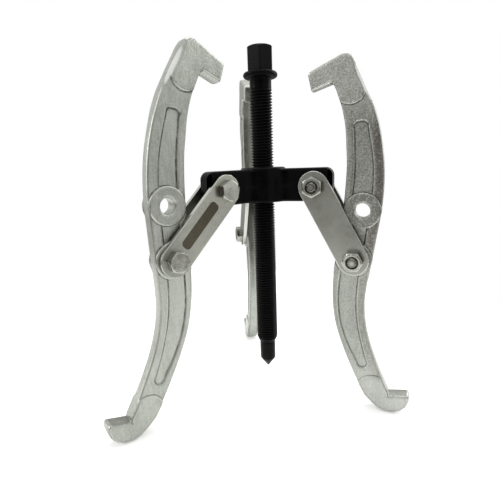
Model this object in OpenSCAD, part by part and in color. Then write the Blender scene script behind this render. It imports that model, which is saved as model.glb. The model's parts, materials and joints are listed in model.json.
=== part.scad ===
/* [Spindle] */
// Outside diameter of the spindle thread, M20 x 2.5
spindle_d = 20; // [20:0.05:20]
// Pitch of the spindle thread, which sets the travel per turn
spindle_pitch = 2.5; // [2:0.5:3]
// Overall length of spindle and centre point together
spindle_len = 300; // [290:0.5:320]
// Height of the lower end of the thread above the tip
thread_bottom = 33; // [31:0.5:60]
// Height of the upper end of the thread above the tip
thread_top = 266; // [240:0.5:268]
// Diameter of the plain neck above the thread
neck_d = 19; // [18:0.1:19.8]
// Diameter of the collar under the hexagon
collar_d = 30; // [24:0.5:34]
// Thickness of the collar
collar_t = 5; // [3:0.5:8]
// Width across flats of the drive hexagon
drive_af = 21; // [19:1:24]
// Height of the drive hexagon
drive_h = 20.7; // [16:0.1:21]
// Turn of the drive hexagon about the spindle axis
drive_turn = 19; // [0:1:59]

/* [Centre point] */
// Diameter of the centre point above its cone
point_d = 15; // [12:0.5:17]
// Height of the cone
point_cone_h = 9.5; // [6:0.5:14]
// Height at which the centre point meets the spindle
point_h = 27.4; // [20:0.1:30]
// Diameter of the spigot that turns inside the spindle
spigot_d = 8; // [6:0.5:10]

/* [Yoke] */
// Height of the arm pivots above the tip of the centre point
pivot_z = 181.1; // [150:0.1:220]
// Distance of each arm pivot from the spindle axis
pivot_r = 48.6; // [44:0.1:60]
// Diameter of the threaded hub
hub_d = 40.5; // [36:0.5:46]
// Thickness of each arm, side to side
arm_t = 13.6; // [12:0.2:14]
// Length of each arm beyond its pivot
arm_reach = 15.6; // [14:0.2:16.5]
// Height of the arm above its pivot
arm_up = 16; // [14:0.5:18]
// Depth of the arm below its pivot
arm_down = 13; // [12:0.5:16]
// Height of the hub above the arms
hub_rise = 1.4; // [0:0.1:4]

/* [Links] */
// Distance between the two bolt centres of a link
link_c = 72.3; // [70:0.1:80]
// Width of a link
link_w = 26.5; // [24:0.5:29]
// Thickness of a link
link_t = 3.6; // [3:0.1:5]

/* [Jaws] */
// Thickness of a jaw over its bosses and hook pads
jaw_t = 13.6; // [12:0.2:14]
// Thickness of a jaw over its rims
rim_t = 11.2; // [10:0.2:11.8]
// Thickness of the web between the rims
web_t = 8; // [6:0.2:9]
// Diameter of the raised bosses round the pivot holes
boss_d = 30.6; // [28:0.2:33]
// Distance between the two pivot holes of a jaw
hole_gap = 43; // [42:0.5:44]
// Diameter of the pivot holes in jaws and yoke
hole_d = 13; // [12:0.1:13.4]

/* [Fasteners] */
// Bolt diameter, M10
bolt_d = 10; // [10:0.05:10]
// Width across flats of bolt heads and nuts
bolt_af = 16; // [16:1:17]
// Height of a bolt head
head_h = 6.4; // [6:0.1:6.4]
// Height of a nut
nut_h = 8; // [8:0.1:8.4]
// Length of bolt that stands out of the nut
bolt_over = 1.6; // [0.6:0.2:3]

/* [Pose at rest] */
// Swing of the link of arm A away from the spindle
link_a_deg = 45.3; // [44:0.1:48]
// Swing of the link of arm B away from the spindle
link_b_deg = 28.6; // [26:0.1:32]
// Swing of the link of arm C away from the spindle
link_c_deg = 34.1; // [32:0.1:38]
// Lean of jaw A towards the spindle
jaw_a_deg = -1.8; // [-4:0.1:0]
// Lean of jaw B towards the spindle
jaw_b_deg = -8.4; // [-10:0.1:-6]
// Lean of jaw C towards the spindle
jaw_c_deg = -9.7; // [-12:0.1:-8]

/* [Hidden] */

// running clearance on the radius, and side play between a jaw or arm and a link
run = 0.05;
play = 0.25;
sleeve_len = max(arm_t, jaw_t) + 2 * play;
link_in = sleeve_len / 2;
link_out = link_in + link_t;
az_a = 210;
az_b = 330;
az_c = 90;
round_fn = 96;

// A jaw is laid out in its own plane: x points away from the spindle, y points
// up, and the origin is the hole in use. Each station pairs a point on the
// outer edge with the point opposite it on the inner edge.
stations = [
    [[-16.4, 145.2], [-36.5, 135.6]],
    [[-7.5, 130.8], [-30, 122.5]],
    [[0.4, 114.2], [-25, 108.1]],
    [[6.4, 97.1], [-21.8, 93.3]],
    [[10.9, 80], [-19, 79]],
    [[13.7, 62], [-17.2, 62]],
    [[15, 43], [-16, 43]],
    [[15, 22], [-15.8, 22]],
    [[15, 0], [-15.6, 0]],
    [[14.8, -18], [-14.8, -18.5]],
    [[15.6, -37], [-12.3, -39]],
    [[19.4, -55.5], [-6.6, -60.6]],
    [[25.8, -73.1], [2.2, -79.8]],
    [[35.2, -91.7], [13.3, -99.3]],
    [[45.8, -110.2], [25, -117.6]]];
// upper hook, from the inner edge round its blunt tip to the outer edge
head_pts = [[-39.6, 140.4], [-42, 141.7], [-57.3, 134.5], [-61.9, 146.6], [-61.1, 148.6],
    [-48.6, 156.6], [-37.4, 163.4], [-33, 164.4], [-29, 162.6], [-25.3, 158.4]];
// lower hook, from the outer edge round its rounded foot to the inner edge
foot_pts = [[50.4, -117.2], [51.6, -120.2], [67.1, -115.3], [68.7, -116.4], [69.3, -120.5],
    [68, -126.4], [64.5, -131.3], [59, -135], [52.5, -136.4], [45.8, -135.4], [39, -131.8], [31.4, -126.2]];
steps = 3;

function cr(a, b, c, d, t) =
    0.5 * (2 * b + (c - a) * t + (2 * a - 5 * b + 4 * c - d) * t * t + (3 * b - a - 3 * c + d) * t * t * t);
function along(p, i, t) = cr(p[max(i - 1, 0)], p[i], p[i + 1], p[min(i + 2, len(p) - 1)], t);
function curve(p, from, to) = concat([for (i = [from:to - 1], k = [0:steps - 1]) along(p, i, k / steps)], [p[to]]);
function backwards(p) = [for (i = [len(p) - 1:-1:0]) p[i]];
function edge(f) = [for (s = stations) s[0] + (s[1] - s[0]) * f];

module jaw_outline() {
    n = len(stations) - 1;
    polygon(concat(curve(edge(0), 0, n), foot_pts, backwards(curve(edge(1), 0, n)), head_pts));
}

// recess between the rims, with a rounded lower end
module jaw_pocket() {
    polygon(concat(curve(edge(0.27), 2, 13), backwards(curve(edge(0.79), 2, 13))));
    translate((edge(0.27)[13] + edge(0.79)[13]) / 2) circle(d = 11.5, $fn = 48);
    translate((edge(0.27)[2] + edge(0.79)[2]) / 2) circle(d = 12.6, $fn = 48);
}

module jaw_pads() {
    intersection() {
        jaw_outline();
        union() {
            translate([-25, 141]) circle(r = 13.5, $fn = 64);
            translate([-65, 138]) square([45, 30]);
            translate([37, -118]) circle(r = 13.5, $fn = 64);
            translate([33, -140]) square([40, 26]);
        }
    }
}

module pivot_hole(d, t) {
    cylinder(d = d, h = t + 2, center = true, $fn = round_fn);
    for (s = [0, 1]) mirror([0, 0, s]) translate([0, 0, t / 2 - 0.6])
        cylinder(d1 = d, d2 = d + 2, h = 1, $fn = round_fn);
}

module jaw_blank() {
    difference() {
        union() {
            difference() {
                linear_extrude(rim_t, center = true) jaw_outline();
                for (s = [0, 1]) mirror([0, 0, s])
                    translate([0, 0, web_t / 2]) linear_extrude(rim_t) jaw_pocket();
            }
            linear_extrude(jaw_t, center = true) jaw_pads();
            for (y = [0, hole_gap]) translate([0, y, 0])
                cylinder(d = boss_d, h = jaw_t, center = true, $fn = round_fn);
        }
        for (y = [0, hole_gap]) translate([0, y, 0]) pivot_hole(hole_d, jaw_t);
    }
}

// frames: an arm's plane, its lower pivot with a lean, and its upper pivot
module on_arm(az) { rotate([0, 0, az]) children(); }
module at_low(az, link_deg, lean) {
    on_arm(az)
        translate([pivot_r + link_c * sin(link_deg), 0, pivot_z - link_c * cos(link_deg)])
            rotate([0, -lean, 0]) rotate([90, 0, 0]) children();
}
module at_high(az) { on_arm(az) translate([pivot_r, 0, pivot_z]) rotate([90, 0, 0]) children(); }

module jaw(az, link_deg, lean) {
    color([0.72, 0.73, 0.70]) at_low(az, link_deg, lean) jaw_blank();
}

module link(az, link_deg, side) {
    color([0.62, 0.63, 0.60]) at_low(az, link_deg, link_deg)
        translate([0, 0, side > 0 ? -link_out : link_in]) difference() {
            linear_extrude(link_t) union() {
                circle(d = link_w, $fn = round_fn);
                translate([0, link_c]) circle(d = link_w, $fn = round_fn);
                translate([-link_w / 2, 0]) square([link_w, link_c]);
            }
            for (y = [0, link_c]) translate([0, y, -1])
                cylinder(d = bolt_d + 0.2, h = link_t + 2, $fn = round_fn);
        }
}

module hexagon(af, h) {
    intersection() {
        rotate([0, 0, 30]) cylinder(r = af / sqrt(3), h = h, $fn = 6);
        union() {
            cylinder(r = af / sqrt(3) + 1, h = h - 1.2, $fn = 64);
            translate([0, 0, h - 1.2])
                cylinder(r1 = af / sqrt(3) + 0.1, r2 = af / 2 - 0.5, h = 1.2, $fn = 64);
        }
    }
}

// bolt and nut lie along local z; the head faces local -z
module bolt() {
    reach = link_out + nut_h + bolt_over;
    mirror([0, 0, 1]) translate([0, 0, link_out]) hexagon(bolt_af, head_h);
    translate([0, 0, -link_out]) cylinder(d = bolt_d, h = link_out + reach - 1, $fn = round_fn);
    translate([0, 0, reach - 1]) cylinder(d1 = bolt_d, d2 = bolt_d - 2, h = 1, $fn = round_fn);
}

module nut() {
    translate([0, 0, link_out]) difference() {
        hexagon(bolt_af, nut_h);
        translate([0, 0, -1]) cylinder(d = bolt_d + 0.1, h = nut_h + 2, $fn = round_fn);
    }
}

module sleeve() {
    difference() {
        cylinder(d = hole_d - 2 * run, h = sleeve_len, center = true, $fn = round_fn);
        cylinder(d = bolt_d + 0.2, h = sleeve_len + 2, center = true, $fn = round_fn);
    }
}

module low_bolt(az, link_deg) { color([0.66, 0.66, 0.62]) at_low(az, link_deg, link_deg) bolt(); }
module low_nut(az, link_deg) { color([0.66, 0.66, 0.62]) at_low(az, link_deg, link_deg) nut(); }
module low_sleeve(az, link_deg) { color([0.5, 0.5, 0.5]) at_low(az, link_deg, link_deg) sleeve(); }
module high_bolt(az) { color([0.66, 0.66, 0.62]) at_high(az) bolt(); }
module high_nut(az) { color([0.66, 0.66, 0.62]) at_high(az) nut(); }
module high_sleeve(az) { color([0.5, 0.5, 0.5]) at_high(az) sleeve(); }

module arm_profile() {
    x1 = pivot_r + arm_reach;
    r = 7;
    h = arm_up + arm_down;
    translate([0, -arm_down]) {
        square([x1 - r, h]);
        translate([0, r]) square([x1, h - 2 * r]);
        for (y = [r, h - r]) translate([x1 - r, y]) circle(r = r, $fn = 64);
    }
}

module yoke() {
    color([0.10, 0.10, 0.11]) translate([0, 0, pivot_z]) difference() {
        union() {
            for (az = [az_a, az_b, az_c]) rotate([0, 0, az]) rotate([90, 0, 0])
                linear_extrude(arm_t, center = true) arm_profile();
            translate([0, 0, -arm_down])
                cylinder(d = hub_d, h = arm_down + arm_up + hub_rise, $fn = round_fn);
        }
        translate([0, 0, -arm_down - 1])
            cylinder(d = spindle_d + 2 * run, h = arm_down + arm_up + hub_rise + 2, $fn = round_fn);
        for (az = [az_a, az_b, az_c]) rotate([0, 0, az])
            translate([pivot_r, 0, 0]) rotate([90, 0, 0])
                cylinder(d = hole_d, h = arm_t + 2, center = true, $fn = round_fn);
    }
}

module spindle() {
    collar_z = spindle_len - drive_h - collar_t;
    color([0.12, 0.12, 0.13]) difference() {
        union() {
            rotate_extrude($fn = round_fn) polygon([
                [0, point_h], [point_d / 2, point_h], [spindle_d / 2, thread_bottom],
                [spindle_d / 2, thread_top], [neck_d / 2, thread_top + 0.4], [neck_d / 2, collar_z],
                [collar_d / 2 - collar_t / 2, collar_z], [collar_d / 2 - collar_t / 2, collar_z + collar_t],
                [0, collar_z + collar_t]]);
            translate([0, 0, collar_z + collar_t / 2]) rotate_extrude($fn = round_fn)
                translate([collar_d / 2 - collar_t / 2, 0]) circle(d = collar_t, $fn = 48);
            translate([0, 0, collar_z + collar_t]) rotate([0, 0, drive_turn - 30]) hexagon(drive_af, drive_h);
        }
        translate([0, 0, point_h - 1]) cylinder(d = spigot_d + 2 * run, h = 14, $fn = round_fn);
    }
}

module centre_point() {
    color([0.30, 0.30, 0.31]) {
        rotate_extrude($fn = round_fn) polygon([
            [0, 0], [0.6, 0], [point_d / 2, point_cone_h], [point_d / 2, point_h - 0.15], [0, point_h - 0.15]]);
        cylinder(d = spigot_d, h = point_h + 11, $fn = round_fn);
    }
}

spindle();
centre_point();
yoke();

jaw(az_a, link_a_deg, jaw_a_deg);  // jaw_a
link(az_a, link_a_deg, 1);  // link_a_head_side
link(az_a, link_a_deg, -1);  // link_a_nut_side
high_bolt(az_a);  // yoke_bolt_a
high_nut(az_a);  // yoke_nut_a
high_sleeve(az_a);  // yoke_sleeve_a
low_bolt(az_a, link_a_deg);  // jaw_bolt_a
low_nut(az_a, link_a_deg);  // jaw_nut_a
low_sleeve(az_a, link_a_deg);  // jaw_sleeve_a

jaw(az_b, link_b_deg, jaw_b_deg);  // jaw_b
link(az_b, link_b_deg, 1);  // link_b_head_side
link(az_b, link_b_deg, -1);  // link_b_nut_side
high_bolt(az_b);  // yoke_bolt_b
high_nut(az_b);  // yoke_nut_b
high_sleeve(az_b);  // yoke_sleeve_b
low_bolt(az_b, link_b_deg);  // jaw_bolt_b
low_nut(az_b, link_b_deg);  // jaw_nut_b
low_sleeve(az_b, link_b_deg);  // jaw_sleeve_b

jaw(az_c, link_c_deg, jaw_c_deg);  // jaw_c
link(az_c, link_c_deg, 1);  // link_c_head_side
link(az_c, link_c_deg, -1);  // link_c_nut_side
high_bolt(az_c);  // yoke_bolt_c
high_nut(az_c);  // yoke_nut_c
high_sleeve(az_c);  // yoke_sleeve_c
low_bolt(az_c, link_c_deg);  // jaw_bolt_c
low_nut(az_c, link_c_deg);  // jaw_nut_c
low_sleeve(az_c, link_c_deg);  // jaw_sleeve_c
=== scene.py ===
import json
import math

import bmesh
import bpy
import numpy as np
from mathutils import Matrix, Vector

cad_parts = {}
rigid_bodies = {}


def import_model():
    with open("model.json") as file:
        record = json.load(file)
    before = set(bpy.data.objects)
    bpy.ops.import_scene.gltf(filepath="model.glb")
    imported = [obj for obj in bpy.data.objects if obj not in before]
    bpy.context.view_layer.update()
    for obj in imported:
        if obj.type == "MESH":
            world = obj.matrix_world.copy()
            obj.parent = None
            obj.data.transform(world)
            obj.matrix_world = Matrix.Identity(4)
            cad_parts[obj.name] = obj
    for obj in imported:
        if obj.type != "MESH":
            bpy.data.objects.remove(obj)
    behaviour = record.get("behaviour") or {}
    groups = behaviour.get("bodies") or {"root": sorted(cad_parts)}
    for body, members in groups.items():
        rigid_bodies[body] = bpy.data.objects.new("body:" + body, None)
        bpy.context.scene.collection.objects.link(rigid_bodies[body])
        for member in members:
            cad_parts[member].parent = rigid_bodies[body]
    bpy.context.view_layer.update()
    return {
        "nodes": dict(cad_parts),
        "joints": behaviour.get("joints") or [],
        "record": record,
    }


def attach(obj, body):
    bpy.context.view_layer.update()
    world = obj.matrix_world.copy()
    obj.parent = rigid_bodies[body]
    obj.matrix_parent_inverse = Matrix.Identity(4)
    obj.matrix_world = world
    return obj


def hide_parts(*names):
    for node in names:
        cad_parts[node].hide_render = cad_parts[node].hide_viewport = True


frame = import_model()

MM = 0.001
record = frame["record"]
joints = {j["name"]: j for j in frame["joints"]}
mounts = {m["name"]: m for m in record["mounts"]}
scene = bpy.context.scene
ARMS = "abc"

# ---------------------------------------------------------------- frames


def placed(origin, pin, along):
    """Matrix whose x points outward, y along the pivot pin and z along the given direction, in metres."""
    z = Vector(along).normalized()
    y = Vector(pin).normalized()
    x = y.cross(z).normalized()
    return Matrix(((x.x, y.x, z.x, origin[0]), (x.y, y.y, z.y, origin[1]),
                   (x.z, y.z, z.z, origin[2]), (0, 0, 0, 1)))


arm = {}
for k in ARMS:
    up = Vector(joints["link_swing_" + k]["pos_m"])
    low = Vector(joints["jaw_swing_" + k]["pos_m"])
    pin = joints["jaw_swing_" + k]["axis"]
    spare = Vector(mounts["spare_pivot_" + k]["pos_m"])
    arm[k] = {
        "up": up,
        "low": low,
        "link": placed(low, pin, up - low),
        "jaw": placed(low, pin, spare - low),
        "post": placed(up, pin, (0, 0, 1)),
        "high": placed(up, pin, up - low),
        "e": Vector((up.x, up.y, 0)).normalized(),
        "nrm": Vector(pin),
    }
LINK_C = (arm["a"]["up"] - arm["a"]["low"]).length / MM
GAP = (Vector(mounts["spare_pivot_a"]["pos_m"]) - arm["a"]["low"]).length / MM
PIVOT_Z = arm["a"]["up"].z / MM
PIVOT_R = math.hypot(arm["a"]["up"].x, arm["a"]["up"].y) / MM

# ---------------------------------------------------------------- distance fields


def smax(a, b, k):
    h = np.maximum(k - np.abs(a - b), 0) / k
    return np.maximum(a, b) + h * h * k * 0.25


def smin(a, b, k):
    return -smax(-a, -b, k)


def poly_sd(P, poly):
    """Signed distance of points P (n,2) to a closed polygon, negative inside."""
    out = np.full(len(P), 1e18)
    inside = np.zeros(len(P), bool)
    a = poly
    b = np.roll(poly, -1, 0)
    x, y = P[:, 0], P[:, 1]
    for (ax, ay), (bx, by) in zip(a, b):
        ex, ey = bx - ax, by - ay
        wx, wy = x - ax, y - ay
        t = np.clip((wx * ex + wy * ey) / max(ex * ex + ey * ey, 1e-12), 0, 1)
        dx, dy = wx - ex * t, wy - ey * t
        out = np.minimum(out, dx * dx + dy * dy)
        c = (ay > y) != (by > y)
        if abs(ey) > 1e-12:
            inside ^= c & (x < ax + ex * (y - ay) / ey)
    return np.sqrt(out) * np.where(inside, -1, 1)


def surface_nets(field, lo, hi, h, passes=4):
    """Quad mesh of the zero set of field(P) over a box, its vertices moved onto the surface."""
    n = [int(math.ceil((hi[i] - lo[i]) / h)) + 1 for i in range(3)]
    ax = [lo[i] + h * np.arange(n[i]) for i in range(3)]
    X, Y, Z = np.meshgrid(*ax, indexing="ij")
    P = np.stack([X.ravel(), Y.ravel(), Z.ravel()], 1)
    V = np.empty(len(P))
    for s in range(0, len(P), 400000):
        V[s:s + 400000] = field(P[s:s + 400000])
    V = V.reshape(n)
    inside = V < 0
    cn = [m - 1 for m in n]
    total = np.zeros(cn + [3])
    count = np.zeros(cn)
    base = np.stack(np.meshgrid(*[np.arange(m) for m in cn], indexing="ij"), -1).astype(float)
    corners = [(i, j, k) for i in (0, 1) for j in (0, 1) for k in (0, 1)]

    def at(A, c):
        return A[c[0]:c[0] + cn[0], c[1]:c[1] + cn[1], c[2]:c[2] + cn[2]]

    for a in corners:
        for axis in range(3):
            if a[axis]:
                continue
            b = list(a)
            b[axis] = 1
            va, vb = at(V, a), at(V, b)
            cross = at(inside, a) != at(inside, b)
            t = np.where(cross, va / np.where(cross, va - vb, 1), 0)
            p = base + np.array(a, float)
            p[..., axis] += t
            total += p * cross[..., None]
            count += cross
    has = count > 0
    index = np.full(cn, -1)
    index[has] = np.arange(has.sum())
    verts = total[has] / count[has][:, None] * h + np.array(lo)
    quads = []
    for axis in range(3):
        u, v = (axis + 1) % 3, (axis + 2) % 3
        s0 = [slice(None)] * 3
        s1 = [slice(None)] * 3
        s0[axis], s1[axis] = slice(0, n[axis] - 1), slice(1, n[axis])
        cross = inside[tuple(s0)] != inside[tuple(s1)]
        for w in (u, v):
            edge = [slice(None)] * 3
            edge[w] = 0
            cross[tuple(edge)] = False
            edge[w] = -1
            cross[tuple(edge)] = False
        c = np.argwhere(cross)
        if not len(c):
            continue
        flip = inside[tuple(s0)][tuple(c.T)]

        def cell(du, dv):
            q = c.copy()
            q[:, u] -= du
            q[:, v] -= dv
            return index[tuple(q.T)]

        q = np.stack([cell(1, 1), cell(0, 1), cell(0, 0), cell(1, 0)], 1)
        q[~flip] = q[~flip][:, ::-1]
        quads.append(q)
    quads = np.concatenate(quads)
    eps = 0.02
    for _ in range(passes):
        d = field(verts)
        g = np.stack([(field(verts + eps * np.eye(3)[i]) - field(verts - eps * np.eye(3)[i])) / (2 * eps)
                      for i in range(3)], 1)
        g2 = np.maximum((g * g).sum(1), 0.25)
        move = -(d / g2)[:, None] * g
        size = np.linalg.norm(move, axis=1)
        move *= np.minimum(1, 0.5 * h / np.maximum(size, 1e-9))[:, None]
        verts = verts + move
    return verts, quads


def mesh_from(name, verts_mm, faces, smooth=True, sharp=None):
    me = bpy.data.meshes.new(name)
    me.from_pydata([tuple(v) for v in np.asarray(verts_mm) * MM], [], [tuple(int(i) for i in f) for f in faces])
    me.validate()
    me.update()
    for p in me.polygons:
        p.use_smooth = smooth
    if sharp is not None:
        me.set_sharp_from_angle(angle=math.radians(sharp))
    return me


def piece(name, mesh, body, nodes, matrix=None, material=None):
    """Puts a mesh into the row frame and keeps its own coordinates as the point attribute "own"."""
    co = np.zeros(len(mesh.vertices) * 3, np.float32)
    mesh.vertices.foreach_get("co", co)
    mesh.attributes.new("own", "FLOAT_VECTOR", "POINT").data.foreach_set("vector", co)
    if matrix is not None:
        mesh.transform(matrix)
    mesh.update()
    ob = bpy.data.objects.new(name, mesh)
    scene.collection.objects.link(ob)
    if material is not None and not mesh.materials:
        mesh.materials.append(material)
    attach(ob, body)
    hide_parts(*nodes)
    return ob


# ---------------------------------------------------------------- jaw

STATIONS = np.array([
    [[-16.4, 145.2], [-36.5, 135.6]], [[-7.5, 130.8], [-30, 122.5]], [[0.4, 114.2], [-25, 108.1]],
    [[6.4, 97.1], [-21.8, 93.3]], [[10.9, 80], [-19, 79]], [[13.7, 62], [-17.2, 62]],
    [[15, 43], [-16, 43]], [[15, 22], [-15.8, 22]], [[15, 0], [-15.6, 0]],
    [[14.8, -18], [-14.8, -18.5]], [[15.6, -37], [-12.3, -39]], [[19.4, -55.5], [-6.6, -60.6]],
    [[25.8, -73.1], [2.2, -79.8]], [[35.2, -91.7], [13.3, -99.3]], [[45.8, -110.2], [25, -117.6]]], float)
HEAD = np.array([[-39.6, 140.4], [-42, 141.7], [-57.3, 134.5], [-61.9, 146.6], [-61.1, 148.6],
                 [-48.6, 156.6], [-37.4, 163.4], [-33, 164.4], [-29, 162.6], [-25.3, 158.4]], float)
FOOT = np.array([[50.4, -117.2], [51.6, -120.2], [67.1, -115.3], [68.7, -116.4], [69.3, -120.5],
                 [68, -126.4], [64.5, -131.3], [59, -135], [52.5, -136.4], [45.8, -135.4],
                 [39, -131.8], [31.4, -126.2]], float)


def edge(f):
    return STATIONS[:, 0] + (STATIONS[:, 1] - STATIONS[:, 0]) * f


def curve(p, first, last, steps=4):
    out = []
    for i in range(first, last):
        a, b, c, d = p[max(i - 1, 0)], p[i], p[i + 1], p[min(i + 2, len(p) - 1)]
        for s in range(steps):
            t = s / steps
            out.append(0.5 * (2 * b + (c - a) * t + (2 * a - 5 * b + 4 * c - d) * t * t
                              + (3 * b - a - 3 * c + d) * t ** 3))
    out.append(p[last])
    return np.array(out)


N_ST = len(STATIONS) - 1
OUTLINE = np.concatenate([curve(edge(0), 0, N_ST), FOOT, curve(edge(1), 0, N_ST)[::-1], HEAD])
POCKET_OUT = np.array([.33, .33, .33, .305, .285, .28, .28, .28, .28, .27, .255, .255, .28, .34, .34])[:, None]
POCKET_IN = np.array([.74, .74, .74, .765, .78, .79, .79, .79, .79, .80, .82, .82, .79, .70, .70])[:, None]
POCKET = np.concatenate([curve(edge(POCKET_OUT), 2, 13), curve(edge(POCKET_IN), 2, 13)[::-1]])
POCKET_ENDS = [(edge(f)[i], r) for i, f, r in ((13, 0.52, 4.0), (2, 0.44, 2.7), (2, 0.49, 2.75),
                                                          (2, 0.535, 2.75), (2, 0.58, 2.75), (2, 0.63, 2.7))]
JAW_T, RIM_T, WEB_T, BOSS_R, HOLE_R = 6.8, 5.6, 4.0, 15.3, 6.5


def jaw_flat(P2):
    out = poly_sd(P2, OUTLINE)
    pocket = poly_sd(P2, POCKET)
    for c, r in POCKET_ENDS:
        pocket = smin(pocket, np.hypot(*(P2 - c).T) - r, 1.5)
    boss = np.minimum(np.hypot(P2[:, 0], P2[:, 1]), np.hypot(P2[:, 0], P2[:, 1] - GAP))
    x, y = P2.T
    top = np.minimum(np.hypot(x + 26.5, y - 139.5) - 13.5,
                     np.maximum(np.maximum(-65 - x, x + 20), np.maximum(138 - y, y - 168)))
    top = np.minimum(top, np.maximum(np.maximum(-66 - x, x + 42), np.maximum(128 - y, y - 168)))
    foot = np.minimum(np.hypot(x - 37, y + 118) - 13.5,
                      np.maximum(np.maximum(33 - x, x - 73), np.maximum(-140 - y, y + 114)))
    return (out, pocket, boss, np.minimum(top, foot)) + jaw_extra(P2, out)


def step(x, a, b):
    t = np.clip((x - a) / (b - a), 0, 1)
    return t * t * (3 - 2 * t)


def jaw_extra(P2, out):
    """Chamfer of the outer edges, how far the rim tops fall off towards the outer edge, extra chamfer of the raised faces."""
    x, y = P2.T
    head = step(y, 124, 137) * (1 - 0.8 * step(y, 148, 163)) * step(x, -34, -26)
    foot = step(-y, 113, 120) * step(x, 30, 44) * 0.25
    chamfer = 0.25 + 1.5 * head + foot
    w = edge(0)
    order = np.argsort(w[:, 1])
    away = np.interp(y, w[order, 1], w[order, 0]) - x
    lean = np.clip(1 - away / 9.0, 0, 1) * step(y, 122, 96) * step(y, -112, -96)
    return chamfer, lean, 1.2 * head


def jaw_solid(flat, side):
    out, pocket, boss, pad, chamfer, lean, raised = flat
    z = np.abs(side)
    rim = RIM_T - 1.25 * lean
    skin = out - 0.25 + 0.05 * z
    beam = smax(skin, z - rim, 1.1)
    beam = smax(beam, (skin + z - RIM_T + chamfer) * 0.7071, 0.7)
    cut = smax(pocket - 0.45 * (z - WEB_T), WEB_T - z, 0.8)
    beam = smax(beam, -cut, 0.7)
    girth = BOSS_R - 0.5 * np.clip((5.6 - z) / 1.6, 0, 1)
    d = smin(beam, smax(boss - girth, z - JAW_T, 0.55), 0.6)
    pads = smax(smax(skin, pad + 0.2 * (z - RIM_T), 0.8), z - JAW_T, 1.0)
    pads = smax(pads, (skin + z - JAW_T + chamfer + raised) * 0.7071, 1.0)
    d = smin(d, pads, 0.5)
    bore = HOLE_R + 1.5 * np.maximum(z - (JAW_T - 0.7), 0)
    return smax(d, bore - boss, 0.35)


def jaw_mesh():
    lo, hi, h = (-63, -8, -139), (72, 8, 166), 0.78
    cache = {}

    def field(P):
        # grid columns share their flat distances
        if len(P) > 60000:
            key = np.round(P[:, [0, 2]], 4)
            uniq, inv = np.unique(key, axis=0, return_inverse=True)
            flat = jaw_flat(uniq)
            return jaw_solid([f[inv.ravel()] for f in flat], P[:, 1])
        return jaw_solid(jaw_flat(P[:, [0, 2]]), P[:, 1])

    v, q = surface_nets(field, lo, hi, h)
    me = mesh_from("jaw_forging", v, q[:, ::-1] if flipped(v, q) else q)
    flat = jaw_flat(v[:, [0, 2]])
    # rim_shade marks the rim tops that fall off towards the outer edge, where the material paints shade
    rim_shade = np.clip(flat[5] * 2.2, 0, 1) * step(-flat[0], 0.2, 1.0) * step(flat[2], BOSS_R - 0.4, BOSS_R + 0.6) * (0.3 + 0.7 * step(v[:, 2], 0, 25))
    me.attributes.new("rim_shade", "FLOAT", "POINT").data.foreach_set("value", rim_shade.astype(np.float32))
    flank = 1 - step(-flat[0] - 2.0 * flat[6], 0.35, 1.1)
    me.attributes.new("flank", "FLOAT", "POINT").data.foreach_set("value", flank.astype(np.float32))
    wide = flat[4] + flat[6]
    # chamfer_highlight marks the chamfers along the front edges, where the material paints a highlight
    chamfer_highlight = step(np.abs(v[:, 1]) - (JAW_T - wide), -0.2, 0.3) * step(wide + flat[0], 0.0, 0.5) * step(flat[6], 0.3, 0.9)
    me.attributes.new("chamfer_highlight", "FLOAT", "POINT").data.foreach_set("value", chamfer_highlight.astype(np.float32))
    # edge_shade_line marks a thin line just inside the outline on both faces, fading out at the head, where the
    # material paints shade
    turn = np.exp(-((-flat[0] - 0.15) / 0.55) ** 2) * step(np.abs(v[:, 1]), 3.4, 4.6) * step(-v[:, 2], -125, -95)
    me.attributes.new("edge_shade_line", "FLOAT", "POINT").data.foreach_set("value", turn.astype(np.float32))
    return me


def flipped(v, q):
    a, b, c = v[q[:, 0]], v[q[:, 1]], v[q[:, 2]]
    d = v[q[:, 3]]
    vol = (np.einsum("ij,ij->i", a, np.cross(b, c)) + np.einsum("ij,ij->i", a, np.cross(c, d))).sum()
    return vol < 0


# ---------------------------------------------------------------- yoke

DIRS = [np.array([arm[k]["e"].x, arm[k]["e"].y]) for k in ARMS]
ARM_X, ARM_UP, ARM_DN, ARM_H = PIVOT_R + 15.6, 16.0, 13.0, 6.8


def yoke_field(P):
    z = P[:, 2]
    r = np.hypot(P[:, 0], P[:, 1])
    xs, plan = [], None
    holes = np.full(len(P), 1e9)
    for d in DIRS:
        x = P[:, 0] * d[0] + P[:, 1] * d[1]
        y = -P[:, 0] * d[1] + P[:, 1] * d[0]
        strip = np.maximum(np.abs(y) - ARM_H + 0.012 * np.abs(z - 1.5), -x)
        plan = strip if plan is None else smin(plan, strip, 9.0)
        xs.append(x)
        holes = np.minimum(holes, np.where(x > 20, np.hypot(x - PIVOT_R, z), 1e9))
    far = np.maximum.reduce(xs)
    plan = smin(plan, r - 19.4, 9.0)
    ridge = 0.28 * np.exp(-((z - 1.5) / 0.75) ** 2) * np.clip((34 - far) / 6, 0, 1)
    plan = plan - ridge
    # side profile with rounded outer corners
    c, h, w = (ARM_UP - ARM_DN) / 2, (ARM_UP + ARM_DN) / 2, 7.0
    qx, qz = np.maximum(far - (ARM_X - w), 0), np.maximum(np.abs(z - c) - (h - w), 0)
    prof = np.hypot(qx, qz) + np.minimum(np.maximum(far - ARM_X, np.abs(z - c) - h) + w, 0) - w
    d = smax(plan, prof, 2.2)
    hub = smax(r - 20.2, np.maximum(z - ARM_UP - 1.4, -ARM_DN - z), 1.8)
    d = smin(d, hub, 0.8)
    mouth = 10.05 + np.maximum(z - (ARM_UP + 1.4 - 1.0), 0) + np.maximum(-ARM_DN + 1.0 - z, 0)
    d = smax(d, mouth - r, 0.4)
    return smax(d, HOLE_R - holes, 0.3)


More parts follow.
